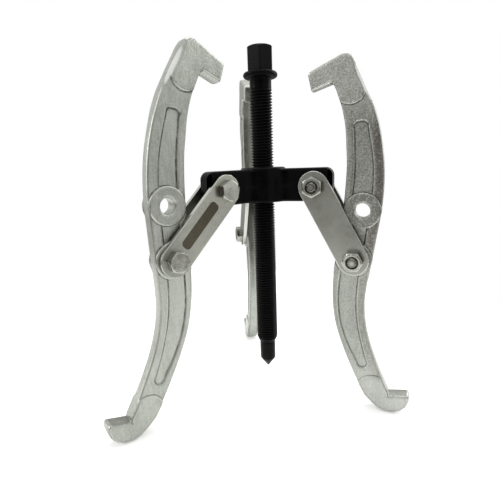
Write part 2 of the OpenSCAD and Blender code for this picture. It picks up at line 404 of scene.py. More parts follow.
def yoke_mesh():
    v, q = surface_nets(yoke_field, (-60, -36, -15), (60, 69, 20), 0.8)
    v = v + np.array([0, 0, PIVOT_Z])
    return mesh_from("yoke_forging", v, q[:, ::-1] if flipped(v - v.mean(0), q) else q)


# ---------------------------------------------------------------- turned and threaded parts


def closed(bm, dist=1e-4):
    bmesh.ops.remove_doubles(bm, verts=bm.verts, dist=dist)
    bmesh.ops.dissolve_degenerate(bm, edges=bm.edges, dist=dist * 0.5)
    bmesh.ops.recalc_face_normals(bm, faces=bm.faces)


def lathe(profile, n=72):
    """Closed surface of revolution about z from (r, z) points that start and end on the axis."""
    verts, faces, rings = [], [], []
    for r, z in profile:
        if r < 1e-6:
            rings.append([len(verts)])
            verts.append((0, 0, z))
        else:
            rings.append(list(range(len(verts), len(verts) + n)))
            verts += [(r * math.cos(2 * math.pi * i / n), r * math.sin(2 * math.pi * i / n), z) for i in range(n)]
    for a, b in zip(rings, rings[1:]):
        for i in range(n):
            j = (i + 1) % n
            if len(a) == 1:
                faces.append((a[0], b[i], b[j]))
            elif len(b) == 1:
                faces.append((a[i], a[j], b[0]))
            else:
                faces.append((a[i], a[j], b[j], b[i]))
    return verts, faces


def thread_body(r_major, pitch, z0, z1, below, above, n=72, lead=None, fade=None):
    """Right-hand helical thread from z0 to z1 between two turned ends given as (r, z) lists.
    below runs up to z0 and above runs on from z1."""
    depth = 0.57 * pitch
    lead = pitch * 0.8 if lead is None else lead
    fade = pitch * 1.2 if fade is None else fade
    prof = [(0.0, 1.0), (0.10, 1.0), (0.155, 0.93), (0.45, 0.06), (0.51, 0.0), (0.60, 0.0), (0.66, 0.06), (0.95, 0.93)]
    turns = int(math.ceil((z1 - z0) / pitch)) + 2
    m = len(prof)
    r_low, r_high = below[-1][0], above[0][0]
    verts = []
    grid = {}
    for i in range(n):
        a = 2 * math.pi * i / n
        for j in range(turns * m):
            f, hgt = prof[j % m]
            z = z0 - pitch + pitch * (j // m + f + i / n)
            zc = min(max(z, z0), z1)
            r = r_major - depth * (1 - hgt)
            if zc - z0 < lead:
                r = min(r, r_low + (r_major - r_low) * max(zc - z0, 0) / lead)
            if z1 - zc < fade:
                w = max(z1 - zc, 0) / fade
                r = r * w + min(r_high, r_major) * (1 - w) if r < r_high else min(r, r_high + (r_major - r_high) * w)
            grid[i, j] = len(verts)
            verts.append((r * math.cos(a), r * math.sin(a), zc))
    faces = []
    for i in range(n):
        for j in range(turns * m - 1):
            if i < n - 1:
                q = (grid[i, j], grid[i + 1, j], grid[i + 1, j + 1], grid[i, j + 1])
            elif j + 1 + m < turns * m:
                q = (grid[i, j], grid[0, j + m], grid[0, j + 1 + m], grid[i, j + 1])
            else:
                continue
            faces.append(q)
    bm = bmesh.new()
    vs = [bm.verts.new(Vector(v) * MM) for v in verts]
    for q in faces:
        zs = [round(verts[t][2], 6) for t in q]
        if max(zs) - min(zs) < 1e-9 and (abs(zs[0] - z0) < 1e-6 or abs(zs[0] - z1) < 1e-6):
            continue
        try:
            bm.faces.new([vs[t] for t in q])
        except ValueError:
            pass
    bmesh.ops.remove_doubles(bm, verts=bm.verts, dist=2e-6)
    for v in [v for v in bm.verts if not v.link_faces]:
        bm.verts.remove(v)

    def ring_at(z):
        found = [e for e in bm.edges if len(e.link_faces) == 1
                 and abs(e.verts[0].co.z / MM - z) < 1e-3 and abs(e.verts[1].co.z / MM - z) < 1e-3]
        order = sorted({v for e in found for v in e.verts}, key=lambda v: math.atan2(v.co.y, v.co.x) % (2 * math.pi))
        return order

    def cap(ring, profile, start_up):
        k = len(ring)
        angles = [math.atan2(v.co.y, v.co.x) for v in ring]
        last = ring
        for r, z in profile:
            if r < 1e-6:
                c = bm.verts.new(Vector((0, 0, z)) * MM)
                for s in range(k):
                    t = (s + 1) % k
                    bm.faces.new([last[s], last[t], c] if start_up else [last[t], last[s], c])
                return
            new = [bm.verts.new(Vector((r * math.cos(a), r * math.sin(a), z)) * MM) for a in angles]
            for s in range(k):
                t = (s + 1) % k
                bm.faces.new([last[s], last[t], new[t], new[s]] if start_up else [last[t], last[s], new[s], new[t]])
            last = new

    cap(ring_at(z0), below[::-1][1:], False)
    cap(ring_at(z1), above, True)
    bmesh.ops.recalc_face_normals(bm, faces=bm.faces)
    me = bpy.data.meshes.new("threaded")
    bm.to_mesh(me)
    bm.free()
    for p in me.polygons:
        p.use_smooth = True
    return me


def rings_to_mesh(rings, bottom=None, top=None, hole=None):
    """Joins rings of equal count; bottom and top are centre heights that close the ends, or hole a radius through."""
    n = len(rings[0])
    bm = bmesh.new()
    vs = [[bm.verts.new(Vector(p) * MM) for p in ring] for ring in rings]
    for a, b in zip(vs, vs[1:]):
        for i in range(n):
            j = (i + 1) % n
            bm.faces.new((a[i], a[j], b[j], b[i]))
    if hole is None:
        for ring, z, up in ((vs[0], bottom, False), (vs[-1], top, True)):
            c = bm.verts.new(Vector((0, 0, z)) * MM)
            for i in range(n):
                j = (i + 1) % n
                bm.faces.new((ring[i], ring[j], c) if up else (ring[j], ring[i], c))
    else:
        for i in range(n):
            j = (i + 1) % n
            bm.faces.new((vs[-1][i], vs[-1][j], vs[0][j], vs[0][i]))
    return bm


def join_bms(name, bms, sharp=30):
    me = bpy.data.meshes.new(name)
    out = bmesh.new()
    for b in bms:
        tmp = bpy.data.meshes.new("tmp")
        b.to_mesh(tmp)
        b.free()
        out.from_mesh(tmp)
        bpy.data.meshes.remove(tmp)
    bmesh.ops.recalc_face_normals(out, faces=out.faces)
    out.to_mesh(me)
    out.free()
    for p in me.polygons:
        p.use_smooth = True
    me.set_sharp_from_angle(angle=math.radians(sharp))
    return me

# ---------------------------------------------------------------- links, bolts, nuts

LINK_R, LINK_T, LINK_IN, LINK_OUT = 13.25, 3.6, 7.05, 10.65
BOLT_AF, HEAD_H, NUT_H, OVER = 16.0, 6.4, 8.0, 1.6


def link_mesh():
    """One plate: x across, y through its thickness from 0 to LINK_T, z from the lower bolt to the upper."""
    cu = bpy.data.curves.new("link_curve", "CURVE")
    cu.dimensions = "2D"
    cu.fill_mode = "BOTH"
    bev = 0.5
    cu.extrude = (LINK_T / 2 - bev) * MM
    cu.bevel_depth = bev * MM
    cu.bevel_resolution = 3
    cu.offset = -bev * MM

    def spline(points):
        s = cu.splines.new("POLY")
        s.points.add(len(points) - 1)
        for p, (x, y) in zip(s.points, points):
            p.co = (x * MM, y * MM, 0, 1)
        s.use_cyclic_u = True

    n = 48
    outer = [(LINK_R * math.cos(math.pi + math.pi * i / n), LINK_R * math.sin(math.pi + math.pi * i / n)) for i in range(n + 1)]
    outer += [(LINK_R * math.cos(math.pi * i / n), LINK_C + LINK_R * math.sin(math.pi * i / n)) for i in range(n + 1)]
    spline(outer)
    for y in (0, LINK_C):
        spline([(5.1 * math.cos(2 * math.pi * i / 72), y - 5.1 * math.sin(2 * math.pi * i / 72)) for i in range(72)])
    ob = bpy.data.objects.new("link_tmp", cu)
    scene.collection.objects.link(ob)
    bpy.context.view_layer.update()
    me = bpy.data.meshes.new_from_object(ob.evaluated_get(bpy.context.evaluated_depsgraph_get()))
    bpy.data.objects.remove(ob)
    bpy.data.curves.remove(cu)
    # the curve lies in xy about z = 0: stand it up so its thickness runs along +y from 0
    me.transform(Matrix(((1, 0, 0, 0), (0, 0, -1, LINK_T / 2 * MM), (0, 1, 0, 0), (0, 0, 0, 1))))
    bm = bmesh.new()
    bm.from_mesh(me)
    closed(bm, 1e-6)
    bm.to_mesh(me)
    bm.free()
    for p in me.polygons:
        p.use_smooth = True
    me.set_sharp_from_angle(angle=math.radians(6))
    return me


SECTOR = [-30, -28.7, -27.43, -26.6, -20, -13.5, -6.8, 0, 6.8, 13.5, 20, 26.6, 27.43, 28.7]


def hex_rings(af, z0, z1, low, high, face_r=0.47, drop=30.0):
    """Rings of a hexagonal prism whose corners are turned off at its ends; flats face 0, 60, 120 degrees."""
    angles = [math.radians(60 * k + s) for k in range(6) for s in SECTOR]
    big = af / math.sqrt(3) - 0.014 * af
    flat = [min(af / 2 / math.cos(math.radians(s)), big) for s in SECTOR] * 6
    r_c = af * face_r
    slope = math.tan(math.radians(drop))

    def level(z, sign):
        cone = [max(0.0, (r - r_c) * slope) for r in flat]
        face = [(min(r_c, r) * math.cos(a), min(r_c, r) * math.sin(a), z) for r, a in zip(flat, angles)]
        side = [(r * math.cos(a), r * math.sin(a), z - sign * c) for r, a, c in zip(flat, angles, cone)]
        mid = []
        for (r, a, c) in zip(flat, angles, cone):
            rr = min(r, r_c + 0.5 * (r - r_c))
            mid.append((rr * math.cos(a), rr * math.sin(a), z - sign * (c * 0.36)))
        flat_in = [(min(r_c - 0.25, r) * math.cos(a), min(r_c - 0.25, r) * math.sin(a), z) for r, a in zip(flat, angles)]
        return flat_in, face, mid, side

    rings = []
    if low:
        rings += list(level(z0, -1))
    else:
        rings.append([(r * math.cos(a), r * math.sin(a), z0) for r, a in zip(flat, angles)])
    if high:
        rings += list(level(z1, 1))[::-1]
    else:
        rings.append([(r * math.cos(a), r * math.sin(a), z1) for r, a in zip(flat, angles)])
    return rings, angles


def circle_like(angles, r, z):
    return [(r * math.cos(a), r * math.sin(a), z) for a in angles]


def mesh_to_bm(me):
    bm = bmesh.new()
    bm.from_mesh(me)
    bpy.data.meshes.remove(me)
    return bm


def bolt_mesh():
    """Head towards +z with its washer face at LINK_OUT; threaded end towards -z."""
    rings, angles = hex_rings(BOLT_AF, LINK_OUT + 0.35, LINK_OUT + HEAD_H, False, True)
    under = circle_like(angles, BOLT_AF * 0.475, LINK_OUT)
    under2 = circle_like(angles, BOLT_AF * 0.475, LINK_OUT + 0.35)
    top = LINK_OUT + HEAD_H
    head = rings_to_mesh([under, under2] + rings, bottom=LINK_OUT, top=top)
    end = -(LINK_OUT + NUT_H + OVER)
    shank = thread_body(
        5.0, 1.5, end + 0.9, -(LINK_OUT - 1.5),
        [(0, end), (2.9, end), (3.1, end), (3.3, end + 0.12), (3.95, end + 0.75), (4.0, end + 0.9)],
        [(4.95, -(LINK_OUT - 2.0)), (4.95, LINK_OUT + 1.0), (0, LINK_OUT + 1.0)],
        n=48, lead=2.2, fade=1.2)
    return join_bms("hex_bolt", [head, mesh_to_bm(shank)], 32)


def nut_mesh():
    """Nut on the -z side, from LINK_OUT to LINK_OUT + NUT_H."""
    rings, angles = hex_rings(BOLT_AF, -(LINK_OUT + NUT_H), -LINK_OUT, True, True, face_r=0.45, drop=33)
    zl, zh = -(LINK_OUT + NUT_H), -LINK_OUT
    inner = [circle_like(angles, 5.6, zh), circle_like(angles, 5.06, zh - 0.55),
             circle_like(angles, 5.06, zl + 0.55), circle_like(angles, 5.6, zl)]
    return join_bms("hex_nut", [rings_to_mesh(rings + inner, hole=5.06)], 32)


# ---------------------------------------------------------------- spindle and centre point

THREAD_LOW, THREAD_TOP, NECK_R, COLLAR_R, COLLAR_T = 33.0, 266.0, 9.5, 15.0, 5.0
TOP_Z, DRIVE_AF, DRIVE_H, DRIVE_TURN, POINT_H, POINT_R = 300.0, 21.0, 20.7, 19.0, 27.4, 7.5


def spindle_mesh():
    collar = TOP_Z - DRIVE_H - COLLAR_T
    cr = COLLAR_R - COLLAR_T / 2
    cone = lambda z: POINT_R + (z - POINT_H) * (10.0 - POINT_R) / (THREAD_LOW - POINT_H)
    below = [(0, POINT_H + 13), (4.05, POINT_H + 13), (4.05, POINT_H), (POINT_R - 0.35, POINT_H),
             (POINT_R, POINT_H + 0.25), (cone(29.4), 29.4)]
    above = [(NECK_R, THREAD_TOP + 0.3), (NECK_R, collar - 1.0), (NECK_R + 0.3, collar - 0.3), (NECK_R + 1.0, collar)]
    above += [(cr + 2.5 * math.cos(math.radians(t)), collar + 2.5 + 2.5 * math.sin(math.radians(t)))
              for t in range(-90, 91, 12)]
    above += [(DRIVE_AF * 0.5, collar + COLLAR_T), (DRIVE_AF * 0.4, collar + COLLAR_T), (0, collar + COLLAR_T)]
    body = thread_body(10.0, 2.5, 29.4, THREAD_TOP, below, above, n=96, lead=THREAD_LOW - 29.4, fade=3.5)
    rings, angles = hex_rings(DRIVE_AF, collar + COLLAR_T - 1.0, TOP_Z, False, True, face_r=0.455, drop=32)
    drive = rings_to_mesh(rings, bottom=collar + COLLAR_T - 1.0, top=TOP_Z)
    bmesh.ops.rotate(drive, verts=drive.verts, cent=(0, 0, 0), matrix=Matrix.Rotation(math.radians(DRIVE_TURN - 30), 3, "Z"))
    return join_bms("spindle_screw", [mesh_to_bm(body), drive], 38)


def point_mesh():
    prof = [(0, 0), (0.32, 0.06), (0.6, 0.3), (POINT_R - 0.75, 9.5 - 0.97), (POINT_R - 0.2, 9.5 - 0.1),
            (POINT_R, 9.5 + 0.7), (POINT_R, POINT_H - 0.75), (POINT_R - 0.4, POINT_H - 0.2), (4.0, POINT_H - 0.2),
            (4.0, POINT_H + 10.6), (3.6, POINT_H + 11), (0, POINT_H + 11)]
    v, f = lathe(prof, 96)
    return mesh_from("point_turned", v, f, sharp=35)

# ---------------------------------------------------------------- surface measures


def measure(me, reach=3):
    """Stores how convex each point is as a point attribute, 0 in a groove, 0.5 flat, 1 on a crest."""
    n = len(me.vertices)
    co = np.zeros(n * 3, np.float32)
    me.vertices.foreach_get("co", co)
    co = co.reshape(-1, 3).astype(float)
    no = np.zeros(n * 3, np.float32)
    me.vertex_normals.foreach_get("vector", no)
    no = no.reshape(-1, 3).astype(float)
    ed = np.zeros(len(me.edges) * 2, np.int64)
    me.edges.foreach_get("vertices", ed)
    a, b = ed.reshape(-1, 2).T
    d = co[b] - co[a]
    ln = np.maximum(np.linalg.norm(d, axis=1), 1e-7)
    bend = np.zeros(n)
    count = np.zeros(n)
    for p, q, s in ((a, b, 1), (b, a, -1)):
        np.add.at(bend, p, -s * np.einsum("ij,ij->i", no[p], d) / ln)
        np.add.at(count, p, 1)
    bend /= np.maximum(count, 1)
    for _ in range(reach):
        total = np.zeros(n)
        np.add.at(total, a, bend[b])
        np.add.at(total, b, bend[a])
        bend = 0.5 * bend + 0.5 * total / np.maximum(count, 1)
    attr = me.attributes.new("crest", "FLOAT", "POINT")
    attr.data.foreach_set("value", np.clip(0.5 + 2.2 * bend, 0, 1).astype(np.float32))


# ---------------------------------------------------------------- materials


class Nodes:
    """Short calls for building a node material."""

    def __init__(self, name, own=True):
        self.mat = bpy.data.materials.new(name)
        self.mat.use_nodes = True
        self.tree = self.mat.node_tree
        self.tree.nodes.clear()
        self.out = self.tree.nodes.new("ShaderNodeOutputMaterial")
        self.bsdf = self.tree.nodes.new("ShaderNodeBsdfPrincipled")
        self.tree.links.new(self.bsdf.outputs[0], self.out.inputs[0])
        if own:
            n = self.tree.nodes.new("ShaderNodeAttribute")
            n.attribute_name = "own"
            self.object = n.outputs["Vector"]
        else:
            self.object = self.tree.nodes.new("ShaderNodeTexCoord").outputs["Object"]

    def put(self, socket, value):
        if isinstance(value, bpy.types.NodeSocket):
            self.tree.links.new(value, socket)
        elif hasattr(value, "__len__") and len(value) == 3 and len(getattr(socket, "default_value", [0])) == 4:
            socket.default_value = (*value, 1)
        else:
            socket.default_value = value

    def math(self, op, a, b=None, c=None, clamp=False):
        n = self.tree.nodes.new("ShaderNodeMath")
        n.operation = op
        n.use_clamp = clamp
        for s, v in zip(n.inputs, (a, b, c)):
            if v is not None:
                self.put(s, v)
        return n.outputs[0]

    def vec(self, op, a, b=None):
        n = self.tree.nodes.new("ShaderNodeVectorMath")
        n.operation = op
        self.put(n.inputs[0], a)
        if b is not None:
            n.inputs[1].default_value = b
        return n.outputs["Value"] if op in ("LENGTH", "DOT_PRODUCT") else n.outputs[0]

    def xyz(self, v=None):
        n = self.tree.nodes.new("ShaderNodeSeparateXYZ")
        self.put(n.inputs[0], self.object if v is None else v)
        return n.outputs

    def noise(self, scale, detail=4.0, rough=0.55, stretch=(1, 1, 1), shift=(0, 0, 0), distort=0.0):
        v = self.vec("MULTIPLY", self.vec("ADD", self.object, shift), tuple(scale * s for s in stretch))
        n = self.tree.nodes.new("ShaderNodeTexNoise")
        n.inputs["Scale"].default_value = 1.0
        n.inputs["Detail"].default_value = detail
        n.inputs["Roughness"].default_value = rough
        n.inputs["Distortion"].default_value = distort
        self.put(n.inputs["Vector"], v)
        return n.outputs["Fac"]

    def cells(self, scale, feature="F1", shift=(0, 0, 0)):
        n = self.tree.nodes.new("ShaderNodeTexVoronoi")
        n.feature = feature
        n.inputs["Scale"].default_value = scale
        self.put(n.inputs["Vector"], self.vec("ADD", self.object, shift))
        return n.outputs["Distance"]

    def ramp(self, x, lo, hi, a=0.0, b=1.0):
        n = self.tree.nodes.new("ShaderNodeMapRange")
        n.interpolation_type = "SMOOTHSTEP"
        for s, v in zip(("Value", "From Min", "From Max", "To Min", "To Max"), (x, lo, hi, a, b)):
            self.put(n.inputs[s], v)
        return n.outputs[0]

    def mix(self, f, a, b):
        n = self.tree.nodes.new("ShaderNodeMix")
        n.data_type = "RGBA"
        self.put(n.inputs[0], f)
        self.put(n.inputs[6], a)
        self.put(n.inputs[7], b)
        return n.outputs[2]

    def attr(self, name):
        n = self.tree.nodes.new("ShaderNodeAttribute")
        n.attribute_name = name
        return n.outputs["Fac"]

    def bump(self, height, depth, strength=1.0, normal=None):
        n = self.tree.nodes.new("ShaderNodeBump")
        n.inputs["Distance"].default_value = depth
        n.inputs["Strength"].default_value = strength
        self.put(n.inputs["Height"], height)
        if normal is not None:
            self.put(n.inputs["Normal"], normal)
        return n.outputs[0]

    def finish(self, color, rough, metallic, normal=None, **more):
        self.put(self.bsdf.inputs["Base Color"], color)
        self.put(self.bsdf.inputs["Roughness"], rough)
        self.bsdf.inputs["Metallic"].default_value = metallic
        if normal is not None:
            self.put(self.bsdf.inputs["Normal"], normal)
        for k, v in more.items():
            self.bsdf.inputs[k.replace("_", " ")].default_value = v
        return self.mat


def jaw_material(name, shift, light_tone=1.0, pits=0.25, boss=0.12, rim_shade=0.0, depth=0.0003, speck=0.14, ends=0.0):
    n = Nodes(name)
    x, y, z = n.xyz()
    # machined boss faces: rings about the two holes
    side = n.ramp(n.math("ABSOLUTE", y), (JAW_T - 0.55) * MM, (JAW_T - 0.15) * MM)
    near = None
    rad = None
    for c in (0, GAP):
        r = n.math("SQRT", n.math("ADD", n.math("MULTIPLY", x, x),
                                  n.math("POWER", n.math("SUBTRACT", z, c * MM), 2.0)))
        rad = r if rad is None else n.math("MINIMUM", rad, r)
    disc = n.math("MULTIPLY", side, n.ramp(rad, (BOSS_R - 0.5) * MM, (BOSS_R + 0.4) * MM, 1, 0))
    rings = n.math("SINE", n.math("MULTIPLY", rad, 2 * math.pi / (0.42 * MM)))
    crest = n.attr("crest")
    broad = n.noise(38, 5, 0.6, (1, 1, 0.6), shift)
    cloud = n.noise(170, 4, 0.6, (1, 1, 0.8), shift)
    grain = n.noise(820, 4, 0.62, (1, 1, 0.85), shift)
    fine = n.noise(2400, 2, 0.6, (1, 1, 1), shift)
    draw = n.noise(330, 3, 0.6, (2.2, 1, 0.10), shift)
    tone_f = n.math("ADD", n.math("MULTIPLY", broad, 0.34), n.math("ADD", n.math("MULTIPLY", cloud, 0.16),
                    n.math("ADD", n.math("MULTIPLY", grain, 0.28), n.math("MULTIPLY", draw, 0.22))))
    # light_tone scales the whole colour of one copy: painted shade for copies that face away from the light
    col = n.mix(n.ramp(tone_f, 0.38, 0.62), tuple(light_tone * c for c in (0.31, 0.325, 0.293)),
                tuple(light_tone * c for c in (0.455, 0.472, 0.432)))
    col = n.mix(n.math("MULTIPLY", disc, boss), col, (0.05, 0.05, 0.043))
    # painted shade: a dark brownish band on the falling rim tops, used on the jaw that faces away from the light
    if rim_shade:
        col = n.mix(n.math("MULTIPLY", n.attr("rim_shade"), n.ramp(cloud, 0.35, 0.65, 0.6 * rim_shade, rim_shade)), col, (0.115, 0.090, 0.080))
    # painted highlight: crests lightened towards a pale grey
    col = n.mix(n.ramp(crest, 0.58, 0.82, 0, 0.22), col, (0.78, 0.78, 0.76))
    spots = n.ramp(n.cells(760, shift=shift), 0.08, 0.34, 1, 0)
    col = n.mix(n.math("MULTIPLY", spots, n.ramp(cloud, 0.42, 0.60, 0.2 * pits, pits)), col, (0.15, 0.145, 0.13))
    # scale left from the forging under the plating: dull and bright specks
    scale = n.noise(700, 3, 0.68, (1, 1, 1), tuple(c + 0.5 for c in shift))
    fade = n.ramp(z, -0.035, 0.02, 0.4, 1.0)
    col = n.mix(n.math("MULTIPLY", n.ramp(scale, 0.49, 0.37, 0, speck), fade), col, (0.12, 0.12, 0.106))
    col = n.mix(n.math("MULTIPLY", n.ramp(scale, 0.52, 0.64, 0, 0.8 * speck), fade), col, (0.74, 0.75, 0.72))
    # painted highlight: lighter towards the head and foot ends of the jaw
    if ends:
        end_highlight = n.math("MAXIMUM", n.ramp(z, 0.112, 0.140), n.ramp(z, -0.085, -0.120))
        col = n.mix(n.math("MULTIPLY", end_highlight, ends), col, (0.92, 0.93, 0.90))
    # painted shade: grooves and inner corners darkened, less towards the lower end
    groove = n.math("MULTIPLY", n.ramp(crest, 0.46, 0.31), n.ramp(z, -0.10, -0.02, 0.55, 1.0))
    col = n.mix(n.math("MULTIPLY", groove, n.ramp(cloud, 0.35, 0.62, 0.4, 0.9)), col, (0.045, 0.046, 0.040))
    # painted highlight: the front chamfers lightened almost to white
    col = n.mix(n.math("MULTIPLY", n.attr("chamfer_highlight"), 0.6), col, (0.95, 0.96, 0.94))
    # painted shade: a thin dark line just inside the outline on both faces
    line = n.math("MULTIPLY", n.attr("edge_shade_line"), n.ramp(grain, 0.38, 0.62, 0.15, 0.75))
    col = n.mix(line, col, (0.11, 0.112, 0.10))
    rough = n.ramp(n.math("ADD", n.math("MULTIPLY", cloud, 0.6), n.math("MULTIPLY", grain, 0.4)), 0.3, 0.7, 0.27, 0.43)
    raw = n.math("SUBTRACT", 1.0, n.math("MULTIPLY", disc, 0.25))
    raw = n.math("MULTIPLY", raw, n.ramp(crest, 0.53, 0.60, 1.0, 0.15))
    raw = n.math("MULTIPLY", raw, n.math("SUBTRACT", 1.0, n.math("MULTIPLY", n.attr("flank"), 0.8)))
    h = n.math("ADD", n.math("MULTIPLY", grain, raw), n.math("MULTIPLY", n.math("MULTIPLY", fine, raw), 0.3))
    h = n.math("ADD", h, n.math("MULTIPLY", n.math("MULTIPLY", rings, disc), 0.02))
    nb = n.bump(n.math("MULTIPLY", cloud, raw), 0.00035, 0.6)
    nb = n.bump(h, depth, 0.9, nb)
    return n.finish(col, rough, 1.0, nb)


def plate_material(name, shift, light_tone=1.0, bar=None, warm=0.0):
    """Rolled and plated plate; bar = (x0, z0, x1, z1, radius) in mm is a blank etched panel on its outer face."""
    n = Nodes(name)
    x, y, z = n.xyz()
    crest = n.attr("crest")
    broad = n.noise(45, 4, 0.6, (1, 1, 0.7), shift)
    mottle = n.noise(420, 4, 0.6, (1, 1, 0.8), shift)
    grain = n.noise(1500, 3, 0.65, (1, 1, 1), shift)
    f = n.math("ADD", n.math("MULTIPLY", broad, 0.45), n.math("ADD", n.math("MULTIPLY", mottle, 0.25), n.math("MULTIPLY", grain, 0.30)))
    # light_tone scales the whole colour of one copy: painted shade for plates that face away from the light
    dark = tuple(light_tone * c for c in (0.35, 0.358, 0.325))
    lite = tuple(light_tone * c for c in (0.425 + warm, 0.436 + warm * 0.8, 0.398))
    col = n.mix(n.ramp(f, 0.36, 0.64), dark, lite)
    scratch = n.ramp(n.noise(230, 2, 0.5, (0.10, 1, 3.0), tuple(s + 0.3 for s in shift)), 0.66, 0.76)
    col = n.mix(n.math("MULTIPLY", scratch, 0.05), col, (0.8, 0.8, 0.78))
    rough = n.ramp(f, 0.3, 0.7, 0.25, 0.37)
    # painted highlight: a brighter line all round the plate edge; the sheared edge is also made smoother there
    zc = n.math("SUBTRACT", z, n.math("MINIMUM", n.math("MAXIMUM", z, 0.0), LINK_C * MM))
    rim = n.math("SQRT", n.math("ADD", n.math("MULTIPLY", x, x), n.math("MULTIPLY", zc, zc)))
    rim = n.math("ADD", rim, n.math("MULTIPLY", n.math("SUBTRACT", mottle, 0.5), 0.3 * MM))
    line = n.ramp(rim, (LINK_R - 0.85) * MM, (LINK_R - 0.45) * MM)
    col = n.mix(n.math("MULTIPLY", line, 0.4), col, (0.82, 0.83, 0.80))
    rough = n.math("SUBTRACT", rough, n.math("MULTIPLY", line, 0.12))
    h = n.math("ADD", n.math("MULTIPLY", grain, 0.6), n.math("MULTIPLY", mottle, 0.6))
    nb = n.bump(broad, 0.0001, 0.2)
    if bar is not None:
        x0, z0, x1, z1, r = (b * MM for b in bar)
        cx, cz, hx, hz = (x0 + x1) / 2, (z0 + z1) / 2, (x1 - x0) / 2, (z1 - z0) / 2
        qx = n.math("MAXIMUM", n.math("SUBTRACT", n.math("ABSOLUTE", n.math("SUBTRACT", x, cx)), hx - r), 0.0)
        qz = n.math("MAXIMUM", n.math("SUBTRACT", n.math("ABSOLUTE", n.math("SUBTRACT", z, cz)), hz - r), 0.0)
        d = n.math("SUBTRACT", n.math("SQRT", n.math("ADD", n.math("MULTIPLY", qx, qx), n.math("MULTIPLY", qz, qz))), r)
        mask = n.math("MULTIPLY", n.ramp(d, -0.12 * MM, 0.12 * MM, 1, 0), n.ramp(y, (LINK_T - 0.4) * MM, (LINK_T - 0.1) * MM))
        etched = n.mix(n.ramp(n.math("ADD", n.math("MULTIPLY", grain, 0.6), n.math("MULTIPLY", broad, 0.4)), 0.35, 0.65),
                       (0.062, 0.056, 0.041), (0.105, 0.095, 0.070))
        # painted shade and sheen: darker towards the lower bolt, lighter and yellower towards the upper end
        col = n.mix(n.ramp(z, 0.040, -0.006, 0, 0.30), col, (0.06, 0.063, 0.058))
        col = n.mix(n.ramp(z, 0.030, 0.066, 0, 0.10), col, (0.50, 0.47, 0.33))
        col = n.mix(mask, col, etched)
        rough = n.math("ADD", rough, n.math("MULTIPLY", mask, 0.16))
        h = n.math("SUBTRACT", h, n.math("MULTIPLY", mask, 1.2))
    nb = n.bump(h, 0.000035, 0.7, nb)
    return n.finish(col, rough, 1.0, nb)


def fastener_material(name, shift, end=False):
    n = Nodes(name)
    broad = n.noise(160, 4, 0.6, (1, 1, 1), shift)
    grain = n.noise(1900, 3, 0.6, (1, 1, 1), shift)
    f = n.math("ADD", n.math("MULTIPLY", broad, 0.65), n.math("MULTIPLY", grain, 0.35))
    col = n.mix(n.ramp(f, 0.34, 0.66), (0.27, 0.275, 0.25), (0.47, 0.48, 0.44))
    tint = n.ramp(n.noise(90, 3, 0.5, (1, 1, 1), tuple(s + 0.7 for s in shift)), 0.54, 0.68, 0, 0.06)
    col = n.mix(tint, col, (0.34, 0.28, 0.21))
    rough = n.ramp(f, 0.3, 0.7, 0.08, 0.17)
    if end:
        # sawn and plated bolt end, duller than the head
        x, y, z = n.xyz()
        low = n.ramp(z, -(LINK_OUT + NUT_H - 0.2) * MM, -(LINK_OUT + NUT_H + 0.4) * MM)
        rad = n.math("SQRT", n.math("ADD", n.math("MULTIPLY", x, x), n.math("MULTIPLY", y, y)))
        dull = n.math("MULTIPLY", low, n.ramp(n.math("ADD", rad, n.math("MULTIPLY", broad, 1.6 * MM)), 2.2 * MM, 3.6 * MM, 0.25, 0.8))
        col = n.mix(dull, col, (0.10, 0.097, 0.083))
    nb = n.bump(broad, 0.0002, 0.6)
    nb = n.bump(grain, 0.00004, 0.7, nb)
    return n.finish(col, rough, 1.0, nb)


def black_steel_material(name):
    n = Nodes(name)
    x, y, z = n.xyz()
    broad = n.noise(60, 4, 0.6, (1, 1, 1), (0.2, 0.1, 0))
    grain = n.noise(1500, 3, 0.6, (1, 1, 1))
    turned = n.noise(700, 2, 0.5, (0.05, 0.05, 3.0))
    f = n.math("ADD", n.math("MULTIPLY", broad, 0.6), n.math("MULTIPLY", grain, 0.4))
    col = n.mix(n.ramp(f, 0.35, 0.68), (0.0008, 0.0009, 0.0009), (0.0018, 0.0020, 0.0019))
    crest = n.attr("crest")
    col = n.mix(n.ramp(crest, 0.62, 0.92, 0, 0.25), col, (0.02, 0.021, 0.02))
    rough = n.ramp(f, 0.3, 0.7, 0.27, 0.43)
    h = n.math("ADD", n.math("MULTIPLY", grain, 0.7), n.math("MULTIPLY", turned, 0.5))
    return n.finish(col, rough, 0.0, n.bump(h, 0.00006, 0.6), Specular_IOR_Level=0.055)


def point_material(name):
    n = Nodes(name)
    broad = n.noise(170, 4, 0.6, (1, 1, 1), (0.4, 0, 0))
    turned = n.noise(900, 2, 0.5, (0.06, 0.06, 2.6))
    grain = n.noise(1800, 3, 0.6)
    f = n.math("ADD", n.math("MULTIPLY", broad, 0.5), n.math("ADD", n.math("MULTIPLY", grain, 0.25), n.math("MULTIPLY", turned, 0.25)))
    col = n.mix(n.ramp(f, 0.35, 0.66), (0.0014, 0.0015, 0.0012), (0.0045, 0.0048, 0.0040))
    rough = n.ramp(f, 0.3, 0.7, 0.30, 0.46)
    return n.finish(col, rough, 0.0, n.bump(n.math("ADD", turned, grain), 0.00006, 0.6), Specular_IOR_Level=0.07)


